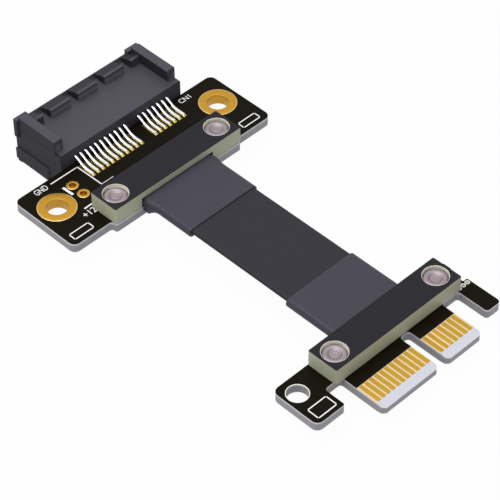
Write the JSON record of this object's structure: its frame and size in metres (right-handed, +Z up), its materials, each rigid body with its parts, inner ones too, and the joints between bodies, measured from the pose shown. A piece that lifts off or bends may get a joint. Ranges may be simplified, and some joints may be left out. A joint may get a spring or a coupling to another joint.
{
  "type": "pcie extension cable",
  "caption": "Short flat extension cable: a card-edge socket on a small board, a ribbon in two wraps between clamp plates, and a board with gold edge fingers.",
  "frame": {"origin": "centre of the bottom of the bounding box, level with the underside of the socket's housing", "axes": "+X along the cable from the socket's mating face to the plug's tip, +Y across the cable, +Z up out of the boards' component side"},
  "size_m": [0.0778, 0.041, 0.0093],
  "materials": {
    "housing_plastic": "dark blue-grey moulded thermoplastic",
    "contact_plating": "bright tin plated copper alloy",
    "board_laminate": "glass-epoxy laminate under black solder mask",
    "plate_laminate": "thick glass-epoxy laminate, black on top and raw at its milled sides",
    "gold_plating": "gold plated copper",
    "rivet_metal": "nickel plated, rolled head",
    "wrap_film": "dark grey satin film",
    "ribbon_jacket": "black flexible jacket"
  },
  "bodies": {
    "root": {"slot_housing": "housing_plastic", "slot_contact_top_01": "contact_plating", "slot_contact_top_02": "contact_plating", "slot_contact_top_03": "contact_plating", "slot_contact_top_04": "contact_plating", "slot_contact_top_05": "contact_plating", "slot_contact_top_06": "contact_plating", "slot_contact_top_07": "contact_plating", "slot_contact_top_08": "contact_plating", "slot_contact_top_09": "contact_plating", "slot_contact_top_10": "contact_plating", "slot_contact_top_11": "contact_plating", "slot_contact_top_12": "contact_plating", "slot_contact_top_13": "contact_plating", "slot_contact_top_14": "contact_plating", "slot_contact_top_15": "contact_plating", "slot_contact_top_16": "contact_plating", "slot_contact_top_17": "contact_plating", "slot_contact_top_18": "contact_plating", "slot_contact_bottom_01": "contact_plating", "slot_contact_bottom_02": "contact_plating", "slot_contact_bottom_03": "contact_plating", "slot_contact_bottom_04": "contact_plating", "slot_contact_bottom_05": "contact_plating", "slot_contact_bottom_06": "contact_plating", "slot_contact_bottom_07": "contact_plating", "slot_contact_bottom_08": "contact_plating", "slot_contact_bottom_09": "contact_plating", "slot_contact_bottom_10": "contact_plating", "slot_contact_bottom_11": "contact_plating", "slot_contact_bottom_12": "contact_plating", "slot_contact_bottom_13": "contact_plating", "slot_contact_bottom_14": "contact_plating", "slot_contact_bottom_15": "contact_plating", "slot_contact_bottom_16": "contact_plating", "slot_contact_bottom_17": "contact_plating", "slot_contact_bottom_18": "contact_plating", "socket_board": "board_laminate", "plug_board": "board_laminate", "mounting_ring_left": "gold_plating", "mounting_ring_right": "gold_plating", "header_eyelet_1": "gold_plating", "header_eyelet_2": "gold_plating", "socket_clamp_plate": "plate_laminate", "plug_clamp_plate": "plate_laminate", "socket_rivet_left": "rivet_metal", "socket_rivet_right": "rivet_metal", "plug_rivet_left": "rivet_metal", "plug_rivet_right": "rivet_metal", "ribbon_cable": "ribbon_jacket", "socket_end_wrap": "wrap_film", "plug_end_wrap": "wrap_film"}
  },
  "joints": []
}
